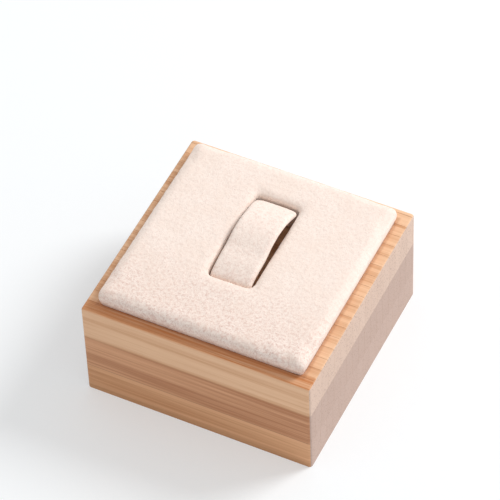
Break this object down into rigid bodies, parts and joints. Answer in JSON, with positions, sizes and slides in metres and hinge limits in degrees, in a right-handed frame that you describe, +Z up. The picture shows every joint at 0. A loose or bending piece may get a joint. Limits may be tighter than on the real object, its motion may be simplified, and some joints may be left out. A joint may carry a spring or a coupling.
{
  "type": "ring display stand",
  "caption": "Square bamboo block with a cream suede pad in its top and a springy tongue that holds a ring over a well.",
  "frame": {"origin": "middle of the block's underside", "axes": "+Z up out of the pad, -Y towards the front face that the tongue's root is nearest, +X to the right"},
  "size_m": [0.045, 0.045, 0.0269],
  "materials": {
    "bamboo_natural": "sanded and oiled, side-pressed strips",
    "bamboo_caramel": "sanded and oiled, caramelised strips",
    "greyboard": "matt pressed fibre board",
    "foam": "open-cell foam",
    "suede": "fine-napped microfibre suede",
    "spring_steel": "bright strip"
  },
  "bodies": {
    "root": {"bottom_ply": "bamboo_natural", "middle_ply": "bamboo_caramel", "top_ply": "bamboo_natural", "backing_board": "greyboard", "pad_foam": "foam", "pad_cover": "suede", "spring_foot": "spring_steel", "leg_sleeve": "suede"},
    "tongue": {"spring_leaf": "spring_steel", "tongue_sleeve": "suede"}
  },
  "joints": [
    {"name": "tongue_lift", "type": "hinge", "parent": "root", "child": "tongue", "pos_m": [0, -0.007, 0.02415], "axis": [1, 0, 0], "range_deg": [0, 30], "stiffness_Nm_per_rad": 0.03}
  ]
}
